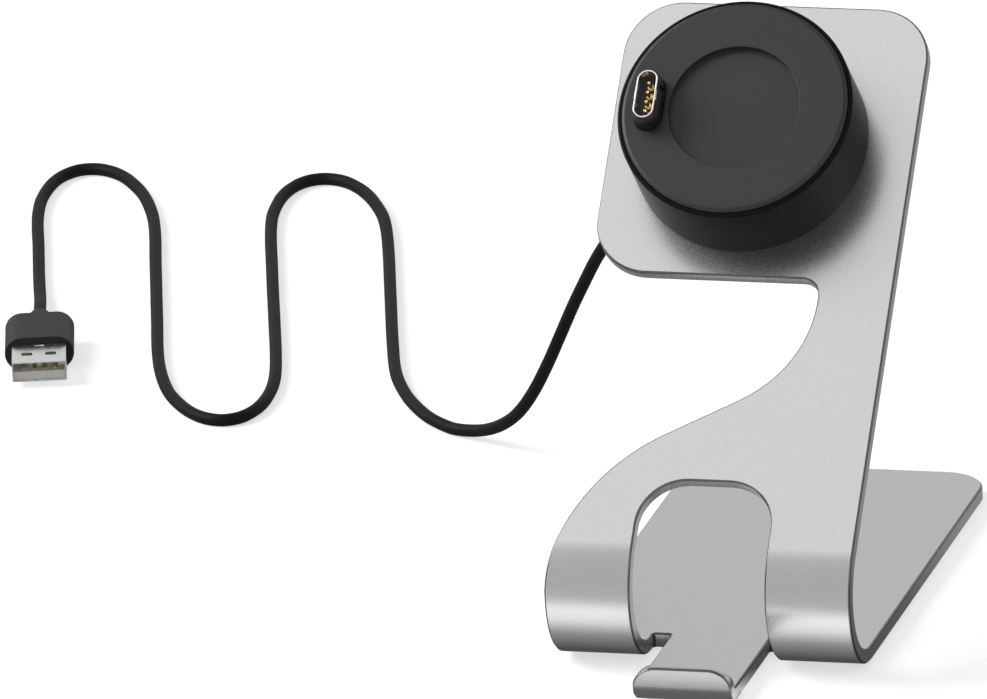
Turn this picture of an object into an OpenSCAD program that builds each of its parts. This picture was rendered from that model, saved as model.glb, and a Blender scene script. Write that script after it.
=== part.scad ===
// Charging dock for a round watch: a bent aluminium sheet stands on the table and leans back.
// A round puck with a four-pin connector sits on its head, and a cord runs to a plug.
// Millimetres. X runs across the sheet, Y to the back, Z up, and the feet stand on Z = 0.

/* [Stand] */
// Width of the bent sheet
sheet_w = 68; // [66:1:76]
// Thickness of the sheet
sheet_t = 3.3; // [2.6:0.1:3.8]
// Angle by which the plate leans back from upright
lean = 45; // [40:1:50]
// Outer radius of the large bend at the front
bend_r = 17; // [15:0.5:20]
// Length of the flat plate, from the bend to the head's top edge
plate_l = 129.5; // [128:0.5:140]
// Height of the head, measured along the plate
head_h = 65.2; // [63:0.2:66]
// Radius of the head's corners
head_r = 12.5; // [8:0.5:14]
// Reach of the base behind the bend's centre
base_back = 109.5; // [100:0.5:130]
// Radius of the base's rear corners
base_r = 10; // [6:0.5:14]
// Width of the neck that carries the head
neck_w = 16.4; // [14:0.2:18]
// Radius of the sweep from the neck into the shoulder
neck_r = 28; // [24:1:30]
// Radius of the left leg's shoulder
shoulder_r = 45; // [40:1:48]
// Slope of the straight edge between neck and shoulder
shoulder_slope = 30; // [26:1:32]

/* [Arch and tongue] */
// Width of the arch between the legs
arch_w = 30; // [28:1:32]
// Height of the arch above the bend, along the plate
arch_h = 15.3; // [13:0.1:17]
// Radius of the arch's upper corners
arch_r = 10.6; // [7:0.2:11]
// Width of the tongue
tongue_w = 22; // [18:0.5:23]
// Reach of the tongue in front of the bend's centre
tongue_l = 33; // [30:0.5:40]
// Height of the turned-up lip
lip_h = 8.2; // [8:0.1:11]
// Outer radius of the lip's bend
lip_r = 4; // [3.9:0.1:4.4]
// How far in from its ends the lip's top corners begin to round
lip_corner_r = 5.4; // [2:0.2:6]
// How far the relief notches run behind the bend's centre
notch_d = 1.6; // [1:0.1:3]

/* [Feet] */
// Thickness of the silicone pads under the base
pad_t = 0.8; // [0.6:0.1:1.5]
// Diameter of a pad
pad_d = 9; // [7:0.5:12]

/* [Puck] */
// Diameter of the puck
puck_d = 52; // [51:0.5:54]
// Height of the puck's front face above the plate
puck_h = 18.2; // [18:0.2:20]
// Distance of the puck's centre from the sheet's centre line
puck_x = -2.4; // [-3:0.2:0]
// Distance of the puck's centre from the head's top edge
puck_down = 33.4; // [32:0.2:34]
// Wall of the puck's housing
puck_wall = 1.8; // [1.6:0.1:2]
// Floor of the puck's housing
puck_floor = 1.6; // [1.4:0.1:2]
// Diameter of the round recess in the face
recess_d = 29; // [24:0.5:30]
// Depth of the round recess
recess_depth = 1.5; // [0.8:0.1:1.6]

/* [Connector] */
// Distance of the connector from the puck's centre
conn_out = 18.7; // [18.6:0.1:18.9]
// Length of the metal shell
shell_l = 11.4; // [11:0.1:11.8]
// Width of the metal shell
shell_w = 4.6; // [4.4:0.1:4.8]
// Wall of the metal shell
shell_wall = 0.35; // [0.3:0.05:0.4]
// Height of the shell's rim above the puck's face
shell_up = 5; // [4.6:0.1:5.4]
// Height of the pedestal above the puck's face
holder_up = 3.7; // [3.2:0.1:4]
// Margin of the pedestal around the shell
holder_margin = 0.7; // [0.6:0.05:0.75]
// Distance between neighbouring pins
pin_pitch = 2.22; // [2.1:0.02:2.3]
// Diameter of a pin's barrel
barrel_d = 1.5; // [1.4:0.05:1.6]
// Diameter of a plunger's tip
plunger_d = 0.88; // [0.8:0.02:0.9]
// Height of a plunger's tip above its collar
plunger_up = 2.6; // [2.4:0.1:2.8]
// Travel of a plunger
plunger_travel = 1; // [0.8:0.1:1]

/* [Cord and plug] */
// Diameter of the cord
cord_d = 2.8; // [2.6:0.1:3]
// Width of the plug's moulded body
plug_w = 15.4; // [15:0.1:16]
// Thickness of the plug's moulded body
plug_t = 7.6; // [7:0.1:8]
// Length of the plug's moulded body
plug_l = 17; // [15:0.5:20]
// Diameter of the plug's round neck
neck_d = 5.2; // [4.8:0.1:5.6]
// Length of the plug's round neck
neck_l = 6.2; // [5:0.2:8]

/* [Hidden] */
$fn = 64;
// Steps of an outline's arc, and of the large bend
arc_steps = 12;
bend_steps = 45;
hw = sheet_w / 2;
bend_y = (tongue_l - base_back) / 2;
head_bottom = plate_l - head_h;
// Inner corner between head and neck, and the short straight below it
neck_fillet = 4;
neck_straight = 1.1;
neck_x = hw - neck_w;
neck_u = head_bottom - neck_fillet - neck_straight;
// The lip's corners stay above the tongue's upper side
lip_corner_h = lip_h - sheet_t - 0.3;
// Where the neck's sweep meets the sloping edge
slope_x = neck_x - neck_r * (1 - sin(shoulder_slope));
slope_u = neck_u - neck_r * cos(shoulder_slope);
shoulder_x = -hw + shoulder_r;
shoulder_u = slope_u
    - (slope_x - shoulder_x + shoulder_r * sin(shoulder_slope)) * tan(shoulder_slope)
    - shoulder_r * cos(shoulder_slope);
// Holes through the plate for the cord and the puck's screws
gland_x = -18.6;
gland_u = -2.1;
gland_hole_r = 3.1;
gland_flange_r = 4;
screw_ring_r = 18;
screw_angles = [15, 135, 262];
screw_r = 1.25;
screw_hole_r = 1.5;
screw_head_r = 2.4;
screw_head_t = 1.5;
boss_r = 3;
boss_h = 8;
puck_u = plate_l - puck_down;
// Cover: it stands in the housing's rim with a thin groove around it
cover_gap = 0.2;
rim_drop = 1;
rim_wall = 0.8;
cover_t = 2.6;
cover_edge_r = 1;
skirt_t = 1.2;
skirt_h = 4.6;
rim_h = puck_h - rim_drop;
shelf_h = puck_h - cover_t;
// Board under the connector
board_top = 10;
board_t = 1;
board_w = 11.5;
board_l = 17;
board_x = -conn_out + 2.4;
post_x = board_x + 4;
post_v = 6;
post_r = 2;
board_screw_r = 0.8;
board_screw_head_r = 1.5;
// Connector heights above the plate
rim_n = puck_h + shell_up;
holder_n = puck_h + holder_up;
flange_t = 1.6;
flange_l = 14.2;
flange_w = 7.2;
holder_bottom = 13;
holder_l = shell_l + 2 * holder_margin;
holder_w = shell_w + 2 * holder_margin;
slot_gap = 0.1;
shell_bottom = 17.2;
block_top = 18.9;
block_bottom = 14.2;
collar_n = 19.3;
tail_r = 0.35;
spring_gap = 0.03;
barrel_bore_r = 0.6;
piston_r = 0.56;
lip_t = 0.4;
piston_h = 1.2;
piston_top = collar_n - lip_t - spring_gap;
tip_n = collar_n + plunger_up;
barrel_bottom = 12.4;
spring_bottom = 13.6;
spring_top = piston_top - piston_h - spring_gap;
spring_turns = 8;
spring_wire_r = 0.07;
spring_mean_r = 0.42;
// Strain relief behind the plate
relief_end = -14;
relief_bore_r = cord_d / 2 + 0.05;
cord_start = 3;
// Plug, lying on the table with its tip to the front
plug_shell_w = 12;
plug_shell_t = 4.5;
plug_shell_l = 12;
plug_shell_wall = 0.3;
plug_shell_in = 5;
plug_window = 2.3;
plug_window_x = 2.65;
plug_window_y = 6.2;
plug_mark_l = 1;
plug_mark_w = 2;
plug_mark_y = 1.2;
plug_turn = 15;
plug_start = [-202.6, 146, plug_t / 2];
// The cord's route over the table, as hand-placed points
CORD_FREE = [
    [-21.4, 30, 82.5], [-24.5, 34, 78.8], [-30, 38.6, 74.4], [-37, 43.7, 69], [-43.4, 49, 63.5],
    [-48, 53.5, 57.2], [-52, 57.5, 50.4], [-56.3, 61.8, 42.7], [-60.8, 66.2, 34],
    [-65.3, 70.6, 25.4], [-70.2, 75.2, 17], [-75.5, 80.1, 10], [-81.3, 85, 5.2],
    [-87.4, 89.4, 2.4], [-94, 93, 1.4], [-100, 98.3, 1.4], [-104.8, 104.7, 1.4],
    [-109.8, 113.3, 1.4], [-115.4, 126.2, 1.4], [-121.2, 145.3, 1.4], [-130.6, 179, 1.4],
    [-139.5, 210.8, 1.4], [-144.7, 226.9, 1.4], [-149.4, 236.9, 1.4], [-153, 242.9, 1.4],
    [-156.7, 247.5, 1.4], [-160.5, 250.6, 1.4], [-164.9, 251.6, 1.4], [-168.6, 249.4, 1.4],
    [-170.8, 244.2, 1.4], [-171.4, 236.2, 1.4], [-169.6, 222.4, 1.4], [-161, 190.5, 1.4],
    [-151.5, 156.8, 1.4], [-145.3, 134.7, 1.4], [-142.1, 122.1, 1.4], [-140.7, 114.2, 1.4],
    [-140.2, 108.3, 1.4], [-140.2, 103.3, 1.4], [-141, 98.4, 1.4], [-143, 94.1, 1.4],
    [-146.7, 92.1, 1.4], [-151.8, 93.9, 1.4], [-157.3, 99.6, 1.4], [-163.5, 109.8, 1.4],
    [-170.3, 127.5, 1.4], [-178.5, 156.4, 1.4], [-187.9, 190.1, 1.4], [-196.1, 219, 1.4],
    [-202.4, 234.7, 1.4], [-208.1, 244.2, 1.4], [-212.6, 249.4, 1.4], [-217.6, 252.1, 1.4],
    [-221.8, 251.3, 1.4], [-224.5, 247.6, 1.4], [-225.7, 242.9, 1.4], [-225.9, 236.9, 1.4],
    [-225.2, 228.9, 1.4], [-222.7, 217.2, 1.4], [-217.8, 199.9, 1.4], [-211.6, 177.8, 1.4],
    [-207.1, 162.4, 2.3], [-204.7, 153.7, 3.6]];
CORD_SIDES = 8;

// Points of an arc around c, from angle a to angle b
function arc(c, r, a, b, steps = arc_steps) =
    [for (i = [0 : steps]) let (t = a + (b - a) * i / steps) c + r * [cos(t), sin(t)]];

// Left edge of the shoulder at height u along the plate
function shoulder_edge(u) = shoulder_x - sqrt(pow(shoulder_r, 2) - pow(u - shoulder_u, 2));

// A point in the plate's frame as a point of the whole object
function on_plate(p) = [p[0],
    bend_y - bend_r * cos(lean) + p[1] * sin(lean) - p[2] * cos(lean),
    pad_t + bend_r * (1 + sin(lean)) + p[1] * cos(lean) + p[2] * sin(lean)];

// Frame of the leaning plate: X across, Y up the plate, Z out of its front face
module in_plate() {
    translate([0, bend_y, pad_t + bend_r]) rotate([90 - lean, 0, 0])
        translate([0, 0, bend_r]) children();
}

// Frame of the puck, on the plate's front face
module in_puck() {
    in_plate() translate([puck_x, puck_u, 0]) children();
}

module in_connector() {
    in_puck() translate([-conn_out, 0, 0]) children();
}

// Centre of pin number i, counted from 1
module at_pin(i) {
    in_connector() translate([0, (i - 2.5) * pin_pitch, 0]) children();
}

module at_screw(i) {
    in_puck() rotate([0, 0, screw_angles[i - 1]]) translate([screw_ring_r, 0, 0]) children();
}

// Frame of the plug: its neck starts at the origin and its tip points along +X
module in_plug() {
    translate(plug_start) rotate([0, 0, plug_turn - 90]) children();
}

module obround(l, w) {
    square([w, l - w], center = true);
    for (s = [-1, 1]) translate([0, s * (l - w) / 2]) circle(d = w);
}

// What a rounded corner takes off, with the arc's centre at the origin
module corner_cut(r) {
    difference() {
        square(r + 1);
        circle(r);
    }
}

// Side view of the sheet: base, round bend and leaning plate, around the bend's centre
module sheet_side() {
    n = [-cos(lean), sin(lean)];
    up = plate_l * [sin(lean), cos(lean)];
    inner = bend_r - sheet_t;
    polygon(concat(
        [[base_back, -bend_r]],
        arc([0, 0], bend_r, 270, 180 - lean, bend_steps),
        [bend_r * n + up, inner * n + up],
        arc([0, 0], inner, 180 - lean, 270, bend_steps),
        [[base_back, -inner]]));
}

// Side view of the tongue and its turned-up lip, around the bend's centre
module tongue_side() {
    c = [lip_r - tongue_l, lip_r - bend_r];
    top = lip_h - bend_r;
    polygon(concat(
        [[notch_d + 3, -bend_r]],
        arc(c, lip_r, 270, 180),
        [[-tongue_l, top], [sheet_t - tongue_l, top]],
        arc(c, lip_r - sheet_t, 180, 270),
        [[notch_d + 3, sheet_t - bend_r]]));
}

// Extrudes a side view across the sheet, w wide and centred
module across(w) {
    translate([-w / 2, bend_y, pad_t + bend_r]) rotate([90, 0, 90]) linear_extrude(w) children();
}

// Open bay under the head: head's lower edge, neck, slope and shoulder. Below the plate's
// foot the shoulder runs on over the bend, seen along the plate's normal.
module bay_outline() {
    s = shoulder_slope;
    steps = 6;
    past = 1.15 * shoulder_u;
    polygon(concat(
        [[-hw - 1, head_bottom + head_r]],
        arc([-hw + head_r, head_bottom + head_r], head_r, 180, 270),
        arc([neck_x - neck_fillet, head_bottom - neck_fillet], neck_fillet, 90, 0),
        arc([neck_x - neck_r, neck_u], neck_r, 0, s - 90),
        arc([shoulder_x, shoulder_u], shoulder_r, 90 + s, 180 - asin(-shoulder_u / shoulder_r)),
        [for (i = [1 : steps - 1]) let (u = shoulder_u * i / steps)
            [shoulder_edge(u), bend_r * sin(u / bend_r * 180 / PI)]],
        [[-hw - 1, bend_r * sin(past / bend_r * 180 / PI)]]));
}

// Arch between the legs, in the plate
module arch_outline() {
    aw = arch_w / 2;
    polygon(concat(
        arc([-aw + arch_r, arch_h - arch_r], arch_r, 180, 90),
        arc([aw - arch_r, arch_h - arch_r], arch_r, 90, 0),
        [[aw, -1], [-aw, -1]]));
}

// What the lip's right top corner loses, seen from the front, with Z = 0 at the lip's top
module lip_corner_cut() {
    c = [tongue_w / 2 - lip_corner_r, -lip_corner_h];
    polygon(concat(
        [for (i = [0 : arc_steps]) let (t = 90 * i / arc_steps)
            c + [lip_corner_r * sin(t), lip_corner_h * cos(t)]],
        [[tongue_w / 2 + 1, -lip_corner_h], [tongue_w / 2 + 1, 1], [c[0], 1]]));
}

module stand() {
    slot_top = bend_r + bend_r * sin(lean) + 0.5;
    color("silver") difference() {
        union() {
            difference() {
                across(sheet_w) sheet_side();
                translate([0, bend_y, pad_t]) {
                    translate([-arch_w / 2, -bend_r - 1, -1])
                        cube([arch_w, bend_r + 1 + notch_d, slot_top + 1]);
                    for (s = [0, 1]) mirror([s, 0, 0])
                        translate([hw - base_r, base_back - base_r, -1])
                            linear_extrude(sheet_t + 2) corner_cut(base_r);
                }
                in_plate() {
                    translate([0, 0, -12]) linear_extrude(13) bay_outline();
                    translate([0, 0, -sheet_t - 1]) linear_extrude(sheet_t + 2) {
                        arch_outline();
                        for (s = [0, 1]) mirror([s, 0])
                            translate([hw - head_r, plate_l - head_r]) corner_cut(head_r);
                    }
                }
            }
            difference() {
                across(tongue_w) tongue_side();
                for (s = [0, 1]) mirror([s, 0, 0])
                    translate([0, bend_y - tongue_l + sheet_t + 1, pad_t + lip_h])
                        rotate([90, 0, 0]) linear_extrude(sheet_t + 2) lip_corner_cut();
            }
        }
        in_puck() translate([gland_x, gland_u, -sheet_t - 1])
            cylinder(h = sheet_t + 2, r = gland_hole_r);
        for (i = [1 : 3]) at_screw(i) translate([0, 0, -sheet_t - 1])
            cylinder(h = sheet_t + 2, r = screw_hole_r);
    }
}

module foot_pad(i) {
    side = i % 2 == 1 ? -1 : 1;
    y = i < 3 ? bend_y + pad_d : bend_y + base_back - base_r - pad_d / 2;
    color("dimgray") translate([side * (hw - pad_d), y, 0]) cylinder(h = pad_t, d = pad_d);
}

// Round cup with a stepped rim, screw bosses and posts for the board
module puck_housing() {
    r = puck_d / 2;
    color([0.1, 0.1, 0.1]) in_puck() difference() {
        union() {
            difference() {
                rotate_extrude($fn = 128) union() {
                    square([r - 0.5, rim_h]);
                    square([r, rim_h - 0.5]);
                    translate([r - 0.5, rim_h - 0.5]) circle(r = 0.5);
                }
                translate([0, 0, puck_floor]) cylinder(h = puck_h, r = r - puck_wall, $fn = 128);
                translate([0, 0, shelf_h]) cylinder(h = puck_h, r = r - rim_wall, $fn = 128);
            }
            for (a = screw_angles) rotate([0, 0, a]) translate([screw_ring_r, 0, 0])
                cylinder(h = boss_h, r = boss_r);
            for (s = [-1, 1]) translate([post_x, s * post_v, 0])
                cylinder(h = board_top - board_t, r = post_r);
        }
        for (a = screw_angles) rotate([0, 0, a]) translate([screw_ring_r, 0, -1])
            cylinder(h = boss_h, r = screw_r);
        for (s = [-1, 1]) translate([post_x, s * post_v, board_top - board_t - 4])
            cylinder(h = 5, r = board_screw_r);
        translate([gland_x, gland_u, -1]) cylinder(h = puck_floor + 2, r = gland_hole_r);
    }
}

// Front disc with a rounded edge, a skirt that plugs into the housing and the round recess
module puck_cover() {
    r = puck_d / 2 - rim_wall - cover_gap;
    skirt_r = puck_d / 2 - puck_wall - cover_gap;
    color([0.25, 0.25, 0.25]) in_puck() difference() {
        union() {
            translate([0, 0, shelf_h]) rotate_extrude($fn = 128) union() {
                square([r - cover_edge_r, cover_t]);
                square([r, cover_t - cover_edge_r]);
                translate([r - cover_edge_r, cover_t - cover_edge_r]) circle(r = cover_edge_r);
            }
            translate([0, 0, shelf_h - skirt_h]) difference() {
                cylinder(h = skirt_h, r = skirt_r, $fn = 128);
                translate([0, 0, -1]) cylinder(h = skirt_h + 1, r = skirt_r - skirt_t, $fn = 128);
            }
        }
        translate([0, 0, puck_h - recess_depth])
            cylinder(h = recess_depth + 1, d = recess_d, $fn = 128);
        translate([-conn_out, 0, shelf_h - 1]) linear_extrude(cover_t + 2)
            obround(holder_l + 2 * slot_gap, holder_w + 2 * slot_gap);
    }
}

// Pedestal with a flange under the cover, notches at its sides and a pocket for shell and pins
module connector_holder() {
    notch_w = 1.2;
    color([0.12, 0.12, 0.12]) in_connector() difference() {
        union() {
            translate([0, 0, holder_bottom]) linear_extrude(holder_n - holder_bottom - 0.4)
                obround(holder_l, holder_w);
            translate([0, 0, holder_n - 0.4]) linear_extrude(0.4)
                obround(holder_l - 0.5, holder_w - 0.5);
            translate([0, 0, shelf_h - flange_t]) linear_extrude(flange_t)
                obround(flange_l, flange_w);
        }
        translate([0, 0, shell_bottom]) linear_extrude(10) obround(shell_l, shell_w);
        translate([0, 0, block_bottom]) linear_extrude(10)
            obround(shell_l - 2 * shell_wall, shell_w - 2 * shell_wall);
        for (i = [1 : 4]) translate([0, (i - 2.5) * pin_pitch, holder_bottom - 1])
            cylinder(h = 5, d = barrel_d);
        for (s = [-1, 1]) translate([s * holder_w / 2, 2.3, puck_h + 2])
            cube([0.9, notch_w, 4 - 2 * slot_gap], center = true);
    }
}

// Thin bright tube with a small detent pressed out of each long side
module connector_shell() {
    detent = [0.2, 2.4, 0.7];
    color("gainsboro") in_connector() {
        difference() {
            union() {
                translate([0, 0, shell_bottom]) linear_extrude(rim_n - shell_bottom)
                    obround(shell_l, shell_w);
                for (s = [-1, 1]) translate([s * (shell_w / 2 + 0.05), 0, holder_n + 0.65])
                    cube(detent, center = true);
            }
            translate([0, 0, shell_bottom - 1]) linear_extrude(rim_n)
                obround(shell_l - 2 * shell_wall, shell_w - 2 * shell_wall);
        }
    }
}

module pin_block() {
    color([0.08, 0.08, 0.08]) in_connector() difference() {
        translate([0, 0, block_bottom]) linear_extrude(block_top - block_bottom)
            obround(shell_l - 2 * shell_wall, shell_w - 2 * shell_wall);
        for (i = [1 : 4]) translate([0, (i - 2.5) * pin_pitch, 0])
            cylinder(h = 30, d = barrel_d);
    }
}

// Barrel with a blind bore, a lip that holds the plunger in, and a tail for the board
module pin_barrel(i) {
    color("gold") at_pin(i) {
        difference() {
            union() {
                translate([0, 0, barrel_bottom]) cylinder(h = collar_n - barrel_bottom, d = barrel_d);
                translate([0, 0, board_top - board_t - 0.6])
                    cylinder(h = barrel_bottom - board_top + board_t + 0.6, r = tail_r);
            }
            translate([0, 0, spring_bottom])
                cylinder(h = collar_n - lip_t - spring_bottom, r = barrel_bore_r);
            translate([0, 0, spring_bottom]) cylinder(h = 10, r = plunger_d / 2 + spring_gap);
        }
    }
}

// Plunger with a domed tip and a wider piston inside the barrel
module pin_plunger(i) {
    r = plunger_d / 2;
    color("gold") at_pin(i) {
        translate([0, 0, piston_top - piston_h]) cylinder(h = piston_h, r = piston_r);
        translate([0, 0, piston_top - 0.1]) cylinder(h = tip_n - r - piston_top + 0.1, r = r);
        translate([0, 0, tip_n - r]) sphere(r = r);
    }
}

// Points of one coil spring ring number k, and the wire swept along them
function coil_point(a, z0, z1) =
    [spring_mean_r * cos(a), spring_mean_r * sin(a),
     z0 + spring_wire_r + (z1 - z0 - 2 * spring_wire_r) * a / (360 * spring_turns)];

module pin_spring(i) {
    points = [for (k = [0 : spring_turns * 8])
        coil_point(k * 45, spring_bottom, spring_top)];
    color("lightgray") at_pin(i) tube(points, spring_wire_r, 4);
}

module circuit_board() {
    color("darkgreen") in_puck() difference() {
        translate([board_x - board_w / 2, -board_l / 2, board_top - board_t])
            cube([board_w, board_l, board_t]);
        for (i = [1 : 4]) translate([-conn_out, (i - 2.5) * pin_pitch, 0])
            cylinder(h = 20, r = tail_r + 0.05);
        for (s = [-1, 1]) translate([post_x, s * post_v, 0])
            cylinder(h = 20, r = board_screw_r + 0.15);
    }
}

module board_screw(i) {
    s = i == 1 ? -1 : 1;
    color("silver") in_puck() translate([post_x, s * post_v, 0]) difference() {
        union() {
            translate([0, 0, board_top]) cylinder(h = 1, r = board_screw_head_r);
            translate([0, 0, board_top - board_t - 3]) cylinder(h = 4.5, r = board_screw_r);
        }
        for (a = [0, 90]) rotate([0, 0, a]) translate([0, 0, board_top + 1])
            cube([1.8, 0.4, 1], center = true);
    }
}

// One core of the cord, from the sheath's end to its pad under the board
module wire(i) {
    colors = ["red", "white", "green", "black"];
    a = 45 + 90 * i;
    r = 0.35;
    foot = [gland_x + 0.7 * cos(a), gland_u + 0.7 * sin(a), cord_start];
    pad = [gland_x + 3 + 1.4 * cos(a), gland_u + 1.7 * sin(a), board_top - board_t];
    color(colors[i - 1]) in_puck()
        tube([foot, foot + [0, 0, 1], foot + [0.15, 0, 1.5], pad - [0.15, 0, 1.5],
            pad - [0, 0, 1], pad], r, 8, [0, 1, 0]);
}

// Screw from behind the plate into a boss of the housing
module puck_screw(i) {
    color("silver") at_screw(i) difference() {
        union() {
            translate([0, 0, -sheet_t - screw_head_t]) cylinder(h = screw_head_t, r = screw_head_r);
            translate([0, 0, -sheet_t - 0.1]) cylinder(h = sheet_t + boss_h - 1.9, r = screw_r);
        }
        for (a = [0, 90]) rotate([0, 0, a]) translate([0, 0, -sheet_t - screw_head_t])
            cube([2.8, 0.6, 1.4], center = true);
    }
}

// Rubber boot: a flange inside the puck, a collar behind the plate and a ringed tail
module strain_relief() {
    tail_top = -sheet_t - 1.4;
    rings = 4;
    color([0.1, 0.1, 0.1]) in_puck() translate([gland_x, gland_u, 0]) difference() {
        union() {
            translate([0, 0, puck_floor]) cylinder(h = 1.2, r = gland_flange_r);
            translate([0, 0, -sheet_t - 0.1]) cylinder(h = sheet_t + puck_floor + 0.2,
                r = gland_hole_r);
            translate([0, 0, tail_top]) cylinder(h = 1.4, r = gland_flange_r);
            translate([0, 0, relief_end]) cylinder(h = tail_top - relief_end, r = cord_d / 2 + 0.7);
            for (k = [0 : rings - 1]) translate([0, 0, tail_top - 1.7 - k * 2.2])
                cylinder(h = 1.2, r = cord_d / 2 + 1.2 - k * 0.12);
        }
        translate([0, 0, relief_end - 1]) cylinder(h = 30, r = relief_bore_r);
    }
}

// Tube swept along a list of points, with one ring of vertices at each point
module tube(points, r, sides, up = [0, 0, 1]) {
    n = len(points);
    dirs = [for (i = [0 : n - 1])
        let (d = points[min(i + 1, n - 1)] - points[max(i - 1, 0)]) d / norm(d)];
    rings = [for (i = [0 : n - 1])
        let (side = cross(dirs[i], up), u = side / norm(side), w = cross(u, dirs[i]))
        for (k = [0 : sides - 1]) let (a = 360 * k / sides)
            points[i] + r * (cos(a) * u + sin(a) * w)];
    walls = [for (i = [0 : n - 2]) for (k = [0 : sides - 1])
        let (a = i * sides + k, b = i * sides + (k + 1) % sides)
        each [[a, b, b + sides], [a, b + sides, a + sides]]];
    ends = [[for (k = [0 : sides - 1]) sides - 1 - k],
        [for (k = [0 : sides - 1]) (n - 1) * sides + k]];
    polyhedron(points = rings, faces = concat(walls, ends), convexity = 10);
}

module cord() {
    start = [for (n = [cord_start, -6, relief_end])
        on_plate([puck_x + gland_x, puck_u + gland_u, n])];
    color([0.08, 0.08, 0.08]) tube(concat(start, CORD_FREE, [plug_start]), cord_d / 2, CORD_SIDES);
}

// Oval body with a round neck, and a pocket that holds the shell
module plug_overmould() {
    color([0.12, 0.12, 0.12]) in_plug() difference() {
        union() {
            rotate([0, 90, 0]) cylinder(h = neck_l, d = neck_d);
            translate([neck_l, 0, 0]) rotate([0, 90, 0]) linear_extrude(plug_l)
                obround(plug_w, plug_t);
        }
        translate([neck_l + plug_l - plug_shell_in, -plug_shell_w / 2, -plug_shell_t / 2])
            cube([plug_shell_in + 1, plug_shell_w, plug_shell_t]);
    }
}

// Folded steel shell with two square windows in each broad side
module plug_shell() {
    w = plug_shell_wall;
    x0 = neck_l + plug_l - plug_shell_in;
    length = plug_shell_in + plug_shell_l;
    color("gainsboro") in_plug() difference() {
        translate([x0, -plug_shell_w / 2, -plug_shell_t / 2])
            cube([length, plug_shell_w, plug_shell_t]);
        translate([x0 - 1, -plug_shell_w / 2 + w, -plug_shell_t / 2 + w])
            cube([length + 2, plug_shell_w - 2 * w, plug_shell_t - 2 * w]);
        for (s = [-1, 1]) translate([neck_l + plug_l + plug_window_y, s * plug_window_x, 0])
            cube([plug_window, plug_window, plug_shell_t + 2], center = true);
        translate([neck_l + plug_l + plug_mark_y, 0, plug_shell_t / 2])
            cube([plug_mark_l, plug_mark_w, w], center = true);
    }
}

// Insulator in the lower half of the shell, with a groove for each contact
module plug_tongue() {
    w = plug_shell_wall;
    x0 = neck_l + plug_l - plug_shell_in;
    back = plug_shell_in + 1;
    length = plug_shell_in + plug_shell_l - 0.6;
    width = plug_shell_w - 2 * w;
    inner_t = plug_shell_t - 2 * w;
    color("ivory") in_plug() difference() {
        union() {
            translate([x0, -width / 2, -inner_t / 2]) cube([length, width, 1.9]);
            translate([x0, -width / 2, -inner_t / 2]) cube([back, width, inner_t]);
        }
        for (i = [1 : 4]) translate([x0 + back + 0.5, plug_contact_y(i) - 0.5, -inner_t / 2 + 1.6])
            cube([8.4, 1, 1]);
    }
}

function plug_contact_y(i) = [-3.5, -1, 1, 3.5][i - 1];

module plug_contact(i) {
    x0 = neck_l + plug_l + 1.5;
    inner_t = plug_shell_t - 2 * plug_shell_wall;
    color("gold") in_plug() translate([x0, plug_contact_y(i) - 0.5, -inner_t / 2 + 1.6])
        cube([8.4, 1, 0.4]);
}

stand();
foot_pad(1);  // foot_pad_1
foot_pad(2);  // foot_pad_2
foot_pad(3);  // foot_pad_3
foot_pad(4);  // foot_pad_4
puck_housing();
puck_cover();
connector_holder();
connector_shell();
pin_block();
pin_barrel(1);  // pin_barrel_1
pin_barrel(2);  // pin_barrel_2
pin_barrel(3);  // pin_barrel_3
pin_barrel(4);  // pin_barrel_4
pin_plunger(1);  // pin_plunger_1
pin_plunger(2);  // pin_plunger_2
pin_plunger(3);  // pin_plunger_3
pin_plunger(4);  // pin_plunger_4
pin_spring(1);  // pin_spring_1
pin_spring(2);  // pin_spring_2
pin_spring(3);  // pin_spring_3
pin_spring(4);  // pin_spring_4
circuit_board();
board_screw(1);  // board_screw_1
board_screw(2);  // board_screw_2
wire(1);  // wire_1
wire(2);  // wire_2
wire(3);  // wire_3
wire(4);  // wire_4
puck_screw(1);  // puck_screw_1
puck_screw(2);  // puck_screw_2
puck_screw(3);  // puck_screw_3
strain_relief();
cord();
plug_overmould();
plug_shell();
plug_tongue();
plug_contact(1);  // plug_contact_1
plug_contact(2);  // plug_contact_2
plug_contact(3);  // plug_contact_3
plug_contact(4);  // plug_contact_4
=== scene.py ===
"""A bent-sheet charging dock for a round watch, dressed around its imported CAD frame."""

import math

import bpy
from mathutils import Matrix, Vector
from mathutils.geometry import interpolate_bezier


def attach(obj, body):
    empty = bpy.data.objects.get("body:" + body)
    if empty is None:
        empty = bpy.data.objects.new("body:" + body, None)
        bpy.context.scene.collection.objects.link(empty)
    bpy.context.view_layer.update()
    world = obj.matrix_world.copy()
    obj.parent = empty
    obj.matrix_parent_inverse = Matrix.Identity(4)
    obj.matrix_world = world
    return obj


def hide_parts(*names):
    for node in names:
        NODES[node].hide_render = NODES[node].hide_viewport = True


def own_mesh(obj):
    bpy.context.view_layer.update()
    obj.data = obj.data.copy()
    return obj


bl_info = {
    "name": "Watch Charging Dock",
    "version": (1, 0, 0),
    "blender": (4, 5, 0),
    "location": "View3D > Sidebar > Dock",
    "description": "Finishes, cord and studio of a bent-sheet charging dock",
    "category": "Object",
}

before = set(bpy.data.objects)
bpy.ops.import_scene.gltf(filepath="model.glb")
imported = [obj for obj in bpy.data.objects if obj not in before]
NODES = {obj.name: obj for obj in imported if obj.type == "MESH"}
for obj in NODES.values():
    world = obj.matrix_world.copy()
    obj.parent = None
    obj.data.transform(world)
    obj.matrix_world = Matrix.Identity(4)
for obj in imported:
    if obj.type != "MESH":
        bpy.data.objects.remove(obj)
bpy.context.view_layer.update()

MM = 0.001
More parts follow.
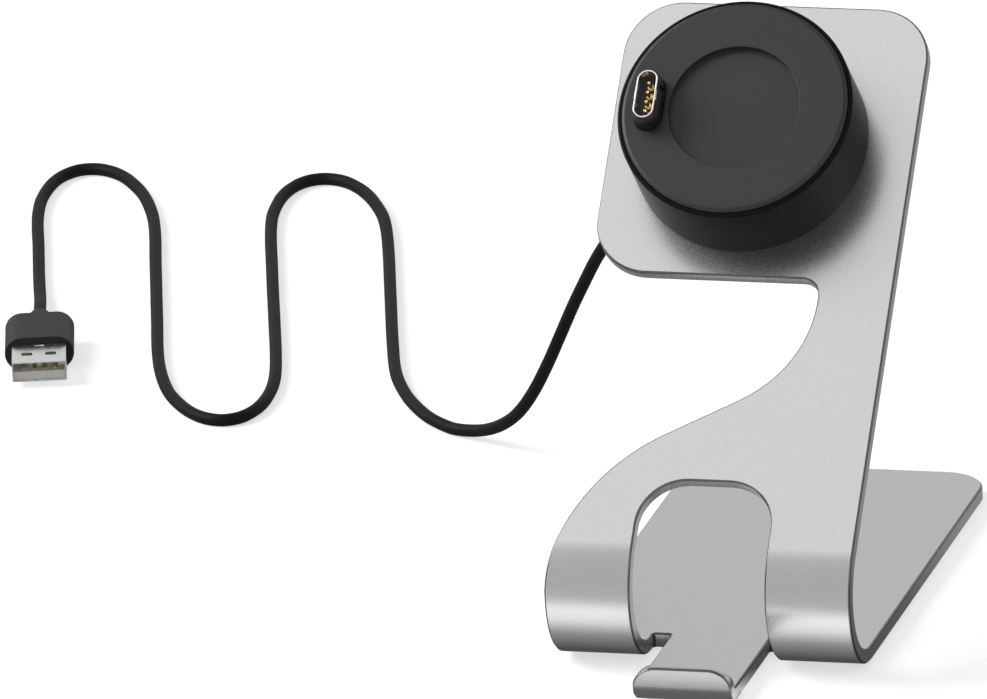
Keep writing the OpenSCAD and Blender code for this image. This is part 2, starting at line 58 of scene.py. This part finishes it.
# Where the leaning plate meets the bend, and the plate's two directions
LEAN = math.radians(45)
BEND_Y = -38.25
BEND_R = 17.0
PAD = 0.8
# The cord's place in the plate: across, up the plate from the bend, and heights along its normal
GLAND = (-21.0, 94.0)
GLAND_HEIGHTS = (3.0, -6.0, -14.0)

CORD_DIAMETER = 2.8 * MM
CORD_ROUTE = (
    (-21.4, 30, 82.5), (-24.5, 34, 78.8), (-30, 38.6, 74.4), (-37, 43.7, 69), (-43.4, 49, 63.5),
    (-48, 53.5, 57.2), (-52, 57.5, 50.4), (-56.3, 61.8, 42.7), (-60.8, 66.2, 34),
    (-65.3, 70.6, 25.4), (-70.2, 75.2, 17), (-75.5, 80.1, 10), (-81.3, 85, 5.2),
    (-87.4, 89.4, 2.4), (-94, 93, 1.4), (-100, 98.3, 1.4), (-104.8, 104.7, 1.4),
    (-109.8, 113.3, 1.4), (-115.4, 126.2, 1.4), (-121.2, 145.3, 1.4), (-130.6, 179, 1.4),
    (-139.5, 210.8, 1.4), (-144.7, 226.9, 1.4), (-149.4, 236.9, 1.4), (-153, 242.9, 1.4),
    (-156.7, 247.5, 1.4), (-160.5, 250.6, 1.4), (-164.9, 251.6, 1.4), (-168.6, 249.4, 1.4),
    (-170.8, 244.2, 1.4), (-171.4, 236.2, 1.4), (-169.6, 222.4, 1.4), (-161, 190.5, 1.4),
    (-151.5, 156.8, 1.4), (-145.3, 134.7, 1.4), (-142.1, 122.1, 1.4), (-140.7, 114.2, 1.4),
    (-140.2, 108.3, 1.4), (-140.2, 103.3, 1.4), (-141, 98.4, 1.4), (-143, 94.1, 1.4),
    (-146.7, 92.1, 1.4), (-151.8, 93.9, 1.4), (-157.3, 99.6, 1.4), (-163.5, 109.8, 1.4),
    (-170.3, 127.5, 1.4), (-178.5, 156.4, 1.4), (-187.9, 190.1, 1.4), (-196.1, 219, 1.4),
    (-202.4, 234.7, 1.4), (-208.1, 244.2, 1.4), (-212.6, 249.4, 1.4), (-217.6, 252.1, 1.4),
    (-221.8, 251.3, 1.4), (-224.5, 247.6, 1.4), (-225.7, 242.9, 1.4), (-225.9, 236.9, 1.4),
    (-225.2, 228.9, 1.4), (-222.7, 217.2, 1.4), (-217.8, 199.9, 1.4), (-211.6, 177.8, 1.4),
    (-207.1, 162.4, 2.3), (-204.7, 153.7, 3.6), (-202.6, 146, 3.8),
)

# The photograph's camera: what it looks at, its turn, height and roll, the width it takes in
VIEW_TARGET = Vector((-52.55, -18.66, 61.22)) * MM
VIEW_ANGLES = (math.radians(15.522), math.radians(19.466), math.radians(2.999))
VIEW_WIDTH = 213.53 * MM
VIEW_DISTANCE = 7.0

# How far a plunger can be pressed, which is its joint's range
PIN_TRAVEL = 1.0 * MM

# Softboxes: where each stands, its side in metres, and its share of the key light's power
AIM = Vector((0, 0, 60)) * MM
SOFTBOXES = {
    "key_softbox": (Vector((-1.35, -0.15, 1.05)), 1.0, 1.0),
    "fill_softbox": (Vector((1.3, -1.0, 0.9)), 1.0, 0.13),
}
TABLE_HALF = 6.0
RING_RADIUS = 2.5
RING_STEPS = 24
CEILING_HEIGHT = 2.7
# What the metal reflects, as stops of a place in metres and a level
CARD_PEAK = 1.25
# The ring round the object, by height: dark, then bright from about 60 degrees up at the front
FRONT_LEVELS = (
    (0.0, 0.53), (2.6, 0.53), (3.3, 0.55), (3.9, 0.61), (4.5, 0.73), (5.1, 0.94), (6.0, 1.05),
)
BACK_LEVELS = ((0.0, 0.66), (1.6, 0.66), (2.4, 0.3), (2.7, 0.18))
CEILING_BACK_LEVELS = ((0.1, 0.5), (0.7, 0.18), (2.6, 0.18))
CEILING_RIGHT_LEVELS = ((0.1, 0.6), (0.6, 0.2), (2.6, 0.2))
# The table by depth, as the large bend and the lip see it: a bright strip, then the dark below
TABLE_LEVELS = (
    (-1.6, 0.5), (-0.3, 0.54), (-0.12, 0.55), (-0.096, 0.68), (-0.08, 1.25),
    (-0.066, 1.25), (-0.06, 0.74), (-0.053, 0.22), (-0.048, 0.08), (0.0, 0.12),
    (0.05, 0.3), (0.7, 0.4),
)
LIP_LEVELS = (
    (-0.1, 1.25), (-0.09, 1.2), (-0.086, 0.5), (-0.079, 0.2), (-0.0735, 0.14), (-0.06, 0.1),
)


def on_plate(across, up, out):
    """A point given in the leaning plate's own directions, in millimetres, in the row frame."""
    s, c = math.sin(LEAN), math.cos(LEAN)
    y = BEND_Y - BEND_R * c + up * s - out * c
    z = PAD + BEND_R * (1 + s) + up * c + out * s
    return Vector((across, y, z)) * MM


class Field:
    """One output of a finish's tree. Python's operators on it add the Math nodes."""

    def __init__(self, finish, socket):
        self.finish = finish
        self.socket = socket

    def _math(self, operation, left, right):
        return self.finish.node("ShaderNodeMath", {"operation": operation}, {0: left, 1: right})

    def __add__(self, other):
        return self._math("ADD", self, other)

    __radd__ = __add__

    def __sub__(self, other):
        return self._math("SUBTRACT", self, other)

    def __rsub__(self, other):
        return self._math("SUBTRACT", other, self)

    def __mul__(self, other):
        return self._math("MULTIPLY", self, other)

    __rmul__ = __mul__


class Tree:
    """A node tree, and the one method that adds a node to it."""

    def __init__(self, tree):
        self.tree = tree

    def node(self, kind, settings=None, inputs=None, output=0):
        made = self.tree.nodes.new(kind)
        for name, value in (settings or {}).items():
            if name == "stops":
                self._set_stops(made.color_ramp.elements, value)
            else:
                setattr(made, name, value)
        for name, value in (inputs or {}).items():
            self.feed(made.inputs[name], value)
        return Field(self, made.outputs[output])

    def _set_stops(self, elements, stops):
        while len(elements) < len(stops):
            elements.new(0.5)
        for element, (place, level) in zip(elements, stops):
            element.position = place
            element.color = (level, level, level, 1)

    def feed(self, socket, value):
        if isinstance(value, Field):
            self.tree.links.new(value.socket, socket)
        else:
            socket.default_value = value

    def mixed(self, factor, first, second):
        """A colour between first and second."""
        return self.node(
            "ShaderNodeMix", {"data_type": "RGBA"}, {0: factor, 6: first, 7: second}, output=2
        )


class Finish(Tree):
    """A material with a Principled surface, and the textures that finishes share."""

    def __init__(self, name, **levels):
        self.material = bpy.data.materials.new(name)
        self.material.use_nodes = True
        super().__init__(self.material.node_tree)
        self.surface = self.tree.nodes["Principled BSDF"]
        for socket, value in levels.items():
            self.surface.inputs[socket.replace("_", " ")].default_value = value
        self.place = self.node("ShaderNodeTexCoord", output="Object")

    def speckle(self, size, detail=2.0, roughness=0.5):
        """Noise whose spots are about size metres across."""
        inputs = {
            "Vector": self.place,
            "Scale": 1 / size,
            "Detail": detail,
            "Roughness": roughness,
        }
        return self.node("ShaderNodeTexNoise", None, inputs)

    def stretched(self, size, x=1.0, y=1.0, z=1.0):
        """Noise drawn out along the axes with small factors, as brushing leaves it."""
        along = self.node("ShaderNodeMapping", None, {"Vector": self.place, "Scale": (x, y, z)})
        inputs = {"Vector": along, "Scale": 1 / size, "Detail": 3.0}
        return self.node("ShaderNodeTexNoise", None, inputs)

    def above(self, field, low, high):
        """0 below low, 1 above high, and smooth between."""
        return self.node("ShaderNodeValToRGB", {"stops": ((low, 0), (high, 1))}, {0: field})

    def set(self, **fields):
        for socket, value in fields.items():
            self.feed(self.surface.inputs[socket.replace("_", " ")], value)

    def relief(self, height, depth, strength=1.0):
        """Bump of the given depth in metres."""
        inputs = {"Height": height, "Distance": depth, "Strength": strength}
        self.set(Normal=self.node("ShaderNodeBump", None, inputs))


def rgba(colour, share=1.0):
    return tuple(min(1.0, c * share) for c in colour[:3]) + (1.0,)


def blasted_aluminium(colour):
    """Bead-blasted and anodised sheet: fine speckle, a faint cloudiness and satin gloss."""
    f = Finish("blasted_aluminium", Metallic=1.0)
    grain = f.speckle(0.4 * MM, detail=4.0, roughness=0.7)
    cloud = f.speckle(28 * MM)
    tint = f.mixed(grain * 0.8 + cloud * 0.2, rgba(colour, 0.91), rgba(colour, 1.09))
    f.set(Base_Color=tint, Roughness=0.2 + 0.12 * grain + 0.04 * cloud)
    f.relief(grain, 0.012 * MM, 0.4)
    return f.material


def painted_shade_edge(colour):
    """Chamfer: smoother, with fine tool lines along the sheet, in the darkened colour it is
    given, which paints shade along the sheet's edges.
    """
    f = Finish("painted_shade_edge", Metallic=1.0)
    lines = f.stretched(0.3 * MM, 0.05, 0.05, 1.0)
    tint = f.mixed(lines, rgba(colour, 0.85), rgba(colour, 1.15))
    f.set(Base_Color=tint, Roughness=0.18 + 0.08 * lines)
    f.relief(lines, 0.003 * MM)
    return f.material


def moulded_plastic(name, colour, roughness, gloss=0.5):
    """Injection-moulded plastic: spark-eroded grain, a trace of dust and uneven gloss."""
    f = Finish(name, Specular_IOR_Level=gloss)
    grain = f.speckle(0.25 * MM, detail=3.0)
    smear = f.speckle(14 * MM, detail=3.0, roughness=0.6)
    dust = f.above(f.speckle(0.6 * MM, detail=1.0), 0.76, 0.82)
    dusty = f.mixed(dust * 0.06, rgba(colour), rgba((0.3, 0.29, 0.28)))
    f.set(Base_Color=dusty, Roughness=roughness + 0.06 * smear + 0.05 * grain)
    f.relief(grain, 0.006 * MM)
    return f.material


def soft_rubber(name, colour, roughness=0.55):
    """Rubbery sheath or boot: matt, with faint flow lines and handling marks."""
    f = Finish(name, Specular_IOR_Level=0.12)
    flow = f.speckle(1.6 * MM, detail=3.0)
    fine = f.speckle(0.2 * MM)
    tint = f.mixed(flow, rgba(colour, 0.8), rgba(colour, 1.3))
    f.set(Base_Color=tint, Roughness=roughness - 0.08 * flow + 0.06 * fine)
    f.relief(fine, 0.008 * MM)
    return f.material


def plated_metal(name, colour, roughness, brush=(1.0, 1.0, 1.0), size=0.3 * MM):
    """Plated or turned metal: fine drawn lines and a few duller spots."""
    f = Finish(name, Metallic=1.0)
    lines = f.stretched(size, *brush)
    spots = f.speckle(2.5 * MM, detail=3.0)
    tint = f.mixed(spots, rgba(colour, 0.94), rgba(colour, 1.04))
    f.set(Base_Color=tint, Roughness=roughness + 0.07 * lines + 0.05 * spots)
    f.relief(lines, 0.003 * MM, 0.6)
    return f.material


def board_finish(colour):
    """Solder mask over copper tracks, which show as paler lines."""
    f = Finish("solder_mask", Coat_Weight=0.4, Coat_Roughness=0.2)
    waves = {"wave_type": "BANDS", "bands_direction": "Y"}
    inputs = {"Vector": f.place, "Scale": 180.0, "Distortion": 3.0, "Detail": 0.0}
    tracks = f.above(f.node("ShaderNodeTexWave", waves, inputs, output="Fac"), 0.55, 0.6)
    tint = f.mixed(tracks, rgba(colour), rgba(colour, 1.9))
    f.set(Base_Color=tint, Roughness=0.32 + 0.1 * f.speckle(0.8 * MM))
    f.relief(tracks, 0.02 * MM)
    return f.material


def dress(names, material, edge=0.0, steps=2, chamfer_shade=None):
    """Gives CAD nodes their finish, and rounds their edges by edge metres.

    With one step the edges are chamfers, which can take a second, darker finish that paints shade
    along them.
    """
    for name in names:
        node = NODES[name]
        node.data.materials.clear()
        node.data.materials.append(material)
        if chamfer_shade:
            node.data.materials.append(chamfer_shade)
        if not edge:
            continue
        weld = node.modifiers.new("weld", "WELD")
        weld.merge_threshold = 1e-6
        flat = node.modifiers.new("flat_faces", "DECIMATE")
        flat.decimate_type = "DISSOLVE"
        flat.angle_limit = math.radians(0.4)
        bevel = node.modifiers.new("edges", "BEVEL")
        bevel.width = edge
        bevel.segments = steps
        bevel.limit_method = "ANGLE"
        bevel.angle_limit = math.radians(32)
        bevel.miter_outer = "MITER_ARC"
        if chamfer_shade:
            # The chamfer faces get the second finish, the darkened one of painted shade.
            bevel.material = 1
            # Clamped, the short sides of the sheet's arcs would all but undo the chamfer
            bevel.use_clamp_overlap = False
        shade = node.modifiers.new("shading", "WEIGHTED_NORMAL")
        shade.keep_sharp = False
        shade.weight = 100


def numbered(name, count):
    return [f"{name}_{i}" for i in range(1, count + 1)]


class DockSizes(bpy.types.PropertyGroup):
    """Sizes of what is added around the frame."""

    sheet_edge: bpy.props.FloatProperty(
        name="Sheet Edge",
        description="Chamfer along the edges of the bent sheet",
        default=0.4 * MM,
        min=0.0,
        max=1.0 * MM,
        precision=5,
        unit="LENGTH",
    )
    plastic_edge: bpy.props.FloatProperty(
        name="Plastic Edge",
        description="Rounding of the moulded edges",
        default=0.25 * MM,
        min=0.0,
        max=0.4 * MM,
        precision=5,
        unit="LENGTH",
    )
    key_power: bpy.props.FloatProperty(
        name="Key Light",
        description="Power of the main softbox, above and to the left",
        default=20.0,
        min=0.0,
        unit="POWER",
    )


class DockColours(bpy.types.PropertyGroup):
    """Colours of the finishes."""

    sheet: bpy.props.FloatVectorProperty(
        name="Sheet",
        description="Anodised aluminium of the stand",
        default=(0.70, 0.70, 0.71),
        size=3,
        min=0.0,
        max=1.0,
        subtype="COLOR",
    )
    plastic: bpy.props.FloatVectorProperty(
        name="Plastic",
        description="Housing, cover and plug body",
        default=(0.015, 0.015, 0.016),
        size=3,
        min=0.0,
        max=1.0,
        subtype="COLOR",
    )
    cord: bpy.props.FloatVectorProperty(
        name="Cord",
        description="Sheath of the cord and its boot",
        default=(0.01, 0.01, 0.011),
        size=3,
        min=0.0,
        max=1.0,
        subtype="COLOR",
    )
    contacts: bpy.props.FloatVectorProperty(
        name="Contacts",
        description="Gold plating of pins and contacts",
        default=(1.0, 0.75, 0.34),
        size=3,
        min=0.0,
        max=1.0,
        subtype="COLOR",
    )


class DOCK_OT_camera(bpy.types.Operator):
    """Place the long-lens camera at the photograph's viewing angle"""

    bl_idname = "dock.camera"
    bl_label = "Place Camera"

    def execute(self, context):
        lens = bpy.data.cameras.new("camera")
        lens.lens = lens.sensor_width * VIEW_DISTANCE / VIEW_WIDTH
        lens.clip_end = 500
        camera = bpy.data.objects.new("camera", lens)
        context.scene.collection.objects.link(camera)
        turn, lift, roll = VIEW_ANGLES
        axes = Matrix.Rotation(turn, 4, "Z") @ Matrix.Rotation(math.pi / 2 - lift, 4, "X")
        axes = axes @ Matrix.Rotation(-roll, 4, "Z")
        back = Matrix.Translation((0, 0, VIEW_DISTANCE))
        camera.matrix_world = Matrix.Translation(VIEW_TARGET) @ axes @ back
        context.scene.camera = camera
        return {"FINISHED"}


class DOCK_OT_cord(bpy.types.Operator):
    """Lay the cord from the puck over the table to its plug"""

    bl_idname = "dock.cord"
    bl_label = "Lay Cord"

    def execute(self, context):
        route = [on_plate(*GLAND, height) for height in GLAND_HEIGHTS]
        route += [Vector(p) * MM for p in CORD_ROUTE]
        line = bpy.data.curves.new("cord_sheath", "CURVE")
        line.dimensions = "3D"
        line.bevel_depth = CORD_DIAMETER / 2
        line.bevel_resolution = 5
        line.resolution_u = 6
        line.use_fill_caps = True
        spline = line.splines.new("BEZIER")
        spline.bezier_points.add(len(route) - 1)
        for i, knot in enumerate(spline.bezier_points):
            before, after = route[max(i - 1, 0)], route[min(i + 1, len(route) - 1)]
            knot.co = route[i]
            knot.handle_left = self.kept_up(route[i] + self.reach(before, route[i], after))
            knot.handle_right = self.kept_up(route[i] + self.reach(after, route[i], before))
        cord = bpy.data.objects.new("cord_sheath", line)
        context.scene.collection.objects.link(cord)
        cord.data.materials.append(soft_rubber("cord_rubber", context.scene.dock_colours.cord))
        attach(cord, "dock")
        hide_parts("cord")
        self.along(spline.bezier_points)
        return {"FINISHED"}

    def along(self, knots):
        """The sheath's real length."""
        total = 0.0
        for a, b in zip(knots[:-1], knots[1:]):
            line = interpolate_bezier(a.co, a.handle_right, b.handle_left, b.co, 13)
            total += sum((q - p).length for p, q in zip(line, line[1:]))
        return total

    def reach(self, near, knot, far):
        """Handle towards near, a third of the way to it, along the line from far to near."""
        return (near - far).normalized() * ((near - knot).length / 3)

    def kept_up(self, point):
        """The sheath never sinks into the table."""
        return Vector((point.x, point.y, max(point.z, CORD_DIAMETER / 2)))


class DOCK_OT_stand(bpy.types.Operator):
    """Finish the bent sheet and its pads"""

    bl_idname = "dock.stand"
    bl_label = "Finish Stand"

    def execute(self, context):
        sizes, colours = context.scene.dock_sizes, context.scene.dock_colours
        # The chamfers get the sheet's colour at 0.27 of its level: painted shade along all the
        # sheet's edges.
        edges = painted_shade_edge([c * 0.27 for c in colours.sheet])
        dress(["stand"], blasted_aluminium(colours.sheet), sizes.sheet_edge, steps=1, chamfer_shade=edges)
        pads = soft_rubber("pad_silicone", (0.09, 0.09, 0.092), roughness=0.6)
        dress(numbered("foot_pad", 4), pads, 0.12 * MM)
        return {"FINISHED"}


class DOCK_OT_puck(bpy.types.Operator):
    """Finish the puck's housing, cover, boot and what is behind the cover"""

    bl_idname = "dock.puck"
    bl_label = "Finish Puck"

    def execute(self, context):
        sizes, colours = context.scene.dock_sizes, context.scene.dock_colours
        glossy = moulded_plastic(
            "housing_gloss", [c * 0.5 for c in colours.plastic], 0.28, gloss=0.08
        )
        satin = moulded_plastic("cover_satin", [c * 1.8 for c in colours.plastic], 0.4)
        dress(["puck_housing"], glossy, sizes.plastic_edge)
        dress(["puck_cover"], satin, 0.12 * MM)
        dress(["strain_relief"], soft_rubber("boot_rubber", colours.cord), 0.2 * MM)
        dress(["circuit_board"], board_finish((0.02, 0.13, 0.05)), 0.08 * MM)
        cores = {1: (0.5, 0.03, 0.02), 2: (0.7, 0.7, 0.67), 3: (0.03, 0.25, 0.06), 4: (0.02,) * 3}
        for i, colour in cores.items():
            dress([f"wire_{i}"], moulded_plastic(f"wire_{i}_insulation", colour, 0.4))
        return {"FINISHED"}


class DOCK_OT_connector(bpy.types.Operator):
    """Finish the connector: pedestal, bright shell, pin block, barrels, springs and plungers"""

    bl_idname = "dock.connector"
    bl_label = "Finish Connector"

    def execute(self, context):
        colours = context.scene.dock_colours
        satin = moulded_plastic("pedestal_satin", colours.plastic, 0.3)
        insulator = moulded_plastic("pin_block_matt", (0.06, 0.052, 0.045), 0.5)
        nickel = plated_metal("shell_nickel", (0.86, 0.86, 0.87), 0.12, brush=(1, 1, 0.1))
        gold = plated_metal("pin_gold", colours.contacts, 0.14, size=0.12 * MM)
        steel = plated_metal("spring_wire", (0.62, 0.62, 0.63), 0.25, size=0.1 * MM)
        dress(["connector_holder"], satin, 0.15 * MM)
        dress(["pin_block"], insulator, 0.06 * MM)
        dress(["connector_shell"], nickel, 0.08 * MM)
        dress(numbered("pin_barrel", 4), gold, 0.05 * MM)
        dress(numbered("pin_plunger", 4), gold)
        dress(numbered("pin_spring", 4), steel)
        for i in range(1, 5):
            self.let_shorten(NODES[f"pin_spring_{i}"], f"pin_{i}_press")
        return {"FINISHED"}

    def let_shorten(self, spring, joint):
        """Gives the spring a mesh of its own, and works out the share of its length left when its
        plunger is pressed; the spring is not shortened.
        """
        up = (on_plate(0, 0, 1) - on_plate(0, 0, 0)).normalized()
        ends = sorted((v.co.dot(up), v.index) for v in spring.data.vertices)
        length = ends[-1][0] - ends[0][0]
        1 - PIN_TRAVEL / length
        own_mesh(spring)


class DOCK_OT_plug(bpy.types.Operator):
    """Finish the plug: moulded body, folded shell, insulator and contacts"""

    bl_idname = "dock.plug"
    bl_label = "Finish Plug"

    def execute(self, context):
        colours = context.scene.dock_colours
        body = moulded_plastic("plug_body", colours.plastic, 0.4, gloss=0.25)
        shell = plated_metal("plug_nickel", (0.93, 0.93, 0.94), 0.2, brush=(0.3, 0.1, 1))
        ivory = moulded_plastic("plug_insulator", (0.7, 0.69, 0.64), 0.45)
        gold = plated_metal("plug_gold", colours.contacts, 0.2)
        dress(["plug_overmould"], body, 0.45 * MM, steps=3)
        dress(["plug_shell"], shell, 0.12 * MM)
        dress(["plug_tongue"], ivory, 0.1 * MM)
        dress(numbered("plug_contact", 4), gold, 0.05 * MM)
        return {"FINISHED"}


class DOCK_OT_fasteners(bpy.types.Operator):
    """Finish the screws behind the plate and on the board"""

    bl_idname = "dock.fasteners"
    bl_label = "Finish Fasteners"

    def execute(self, context):
        steel = plated_metal("screw_steel", (0.6, 0.6, 0.61), 0.24, size=0.15 * MM)
        dress([*numbered("puck_screw", 3), *numbered("board_screw", 2)], steel, 0.1 * MM)
        return {"FINISHED"}


def add_softbox(name, place, side, power):
    """A square lamp at place that faces the object."""
    lamp = bpy.data.lights.new(name, "AREA")
    lamp.size = side
    lamp.energy = power
    softbox = bpy.data.objects.new(name, lamp)
    softbox.location = place
    softbox.rotation_euler = (AIM - place).to_track_quat("-Z", "Y").to_euler()
    bpy.context.scene.collection.objects.link(softbox)


def seen_directly(tree):
    """1 for a ray from the camera, or one that a mirror or glass sends on."""
    rays = tree.node("ShaderNodeLightPath").socket.node
    camera, glossy, through = (
        Field(tree, rays.outputs[name])
        for name in ("Is Camera Ray", "Is Glossy Ray", "Is Transmission Ray")
    )
    return camera + glossy + through


class DOCK_OT_stage(bpy.types.Operator):
    """Set up the white table, the grey cards and the softboxes"""

    bl_idname = "dock.stage"
    bl_label = "Set Up Stage"

    def execute(self, context):
        self.add_floor()
        self.add_cards()
        self.light_world(context)
        for name, (place, side, share) in SOFTBOXES.items():
            add_softbox(name, place, side, context.scene.dock_sizes.key_power * share)
        context.scene.view_settings.view_transform = "Standard"
        return {"FINISHED"}

    def add_floor(self):
        half = TABLE_HALF
        corners = [(-half, -half, 0), (half, -half, 0), (half, half, 0), (-half, half, 0)]
        mesh = bpy.data.meshes.new("table")
        mesh.from_pydata(corners, [], [(0, 1, 2, 3)])
        floor = bpy.data.objects.new("table", mesh)
        bpy.context.scene.collection.objects.link(floor)
        f = Finish("table_white", Base_Color=(0.72, 0.72, 0.72, 1), Roughness=0.9)
        f.surface.inputs["Specular IOR Level"].default_value = 0.0
        glow = f.node("ShaderNodeEmission", None, {"Strength": 0.62 * seen_directly(f)})
        both = f.node("ShaderNodeAddShader", None, {0: Field(f, f.surface.outputs[0]), 1: glow})
        f.feed(f.tree.nodes["Material Output"].inputs["Surface"], both)
        floor.data.materials.append(f.material)

    def add_card(self, name, points, faces, axis, stops):
        """Grey card that only reflections see, so that bright metal has something dark to show.

        Its level changes along the axis, by stops of a place in metres and a level.
        """
        mesh = bpy.data.meshes.new(name)
        mesh.from_pydata(points, [], faces)
        card = bpy.data.objects.new(name, mesh)
        bpy.context.scene.collection.objects.link(card)
        f = Finish(name)
        low, high = stops[0][0], stops[-1][0]
        ramp = tuple(((place - low) / (high - low), level / CARD_PEAK) for place, level in stops)
        along = f.node("ShaderNodeSeparateXYZ", None, {0: f.place}, output=axis)
        share = (along - low) * (1 / (high - low))
        grey = f.node("ShaderNodeValToRGB", {"stops": ramp}, {0: share})
        glow = f.node("ShaderNodeEmission", None, {"Color": grey, "Strength": CARD_PEAK})
        f.feed(f.tree.nodes["Material Output"].inputs["Surface"], glow)
        mesh.materials.append(f.material)
        card.visible_camera = card.visible_diffuse = card.visible_shadow = False

    def add_flat_card(self, name, corner, opposite, height, axis, stops):
        (x0, y0), (x1, y1) = corner, opposite
        points = [(x0, y0, height), (x1, y0, height), (x1, y1, height), (x0, y1, height)]
        self.add_card(name, points, [(0, 1, 2, 3)], axis, stops)

    def add_half_ring(self, name, start, stops):
        angles = [start + math.pi * i / RING_STEPS for i in range(RING_STEPS + 1)]
        points = [
            (RING_RADIUS * math.cos(a), RING_RADIUS * math.sin(a), z)
            for z in (stops[0][0], stops[-1][0])
            for a in angles
        ]
        row = RING_STEPS + 1
        faces = [(i, i + 1, i + 1 + row, i + row) for i in range(RING_STEPS)]
        self.add_card(name, points, faces, 2, stops)

    def add_cards(self):
        self.add_half_ring("back_card", 0, BACK_LEVELS)
        self.add_half_ring("front_card", math.pi, FRONT_LEVELS)
        # Overhead it is bright only to the front and left
        high = CEILING_HEIGHT
        flat = self.add_flat_card
        flat("ceiling_back", (-2.6, 0.1), (2.6, 2.6), high, 1, CEILING_BACK_LEVELS)
        flat("ceiling_right", (0.1, -2.6), (2.6, 0.1), high, 0, CEILING_RIGHT_LEVELS)
        flat("table_card", (-0.7, -1.6), (0.7, 0.7), 0.2 * MM, 1, TABLE_LEVELS)
        flat("lip_card", (-0.016, -0.1), (0.012, -0.06), 0.3 * MM, 1, LIP_LEVELS)

    def light_world(self, context):
        world = bpy.data.worlds.new("studio")
        world.use_nodes = True
        context.scene.world = world
        t = Tree(world.node_tree)
        background = world.node_tree.nodes["Background"]
        background.inputs["Color"].default_value = (1, 1, 1, 1)
        level = t.node(
            "ShaderNodeMath", {"operation": "MINIMUM"}, {0: 0.3 + seen_directly(t), 1: 1.0}
        )
        t.feed(background.inputs["Strength"], level)


STEPS = (
    DOCK_OT_camera,
    DOCK_OT_cord,
    DOCK_OT_stand,
    DOCK_OT_puck,
    DOCK_OT_connector,
    DOCK_OT_plug,
    DOCK_OT_fasteners,
    DOCK_OT_stage,
)


class DOCK_PT_panel(bpy.types.Panel):
    """The dock's pieces, sizes and colours"""

    bl_idname = "DOCK_PT_panel"
    bl_label = "Watch Charging Dock"
    bl_space_type = "VIEW_3D"
    bl_region_type = "UI"
    bl_category = "Dock"

    def draw(self, context):
        for group in (context.scene.dock_sizes, context.scene.dock_colours):
            box = self.layout.box()
            for name in group.bl_rna.properties.keys():
                if name not in ("rna_type", "name"):
                    box.prop(group, name)
        for step in STEPS:
            self.layout.operator(step.bl_idname)


CLASSES = (DockSizes, DockColours, *STEPS, DOCK_PT_panel)


def register():
    for made in CLASSES:
        bpy.utils.register_class(made)
    bpy.types.Scene.dock_sizes = bpy.props.PointerProperty(type=DockSizes)
    bpy.types.Scene.dock_colours = bpy.props.PointerProperty(type=DockColours)


def unregister():
    del bpy.types.Scene.dock_colours
    del bpy.types.Scene.dock_sizes
    for made in reversed(CLASSES):
        bpy.utils.unregister_class(made)


def main():
    register()
    for step in STEPS:
        getattr(bpy.ops.dock, step.bl_idname.split(".")[1])()


if __name__ == "__main__":
    main()
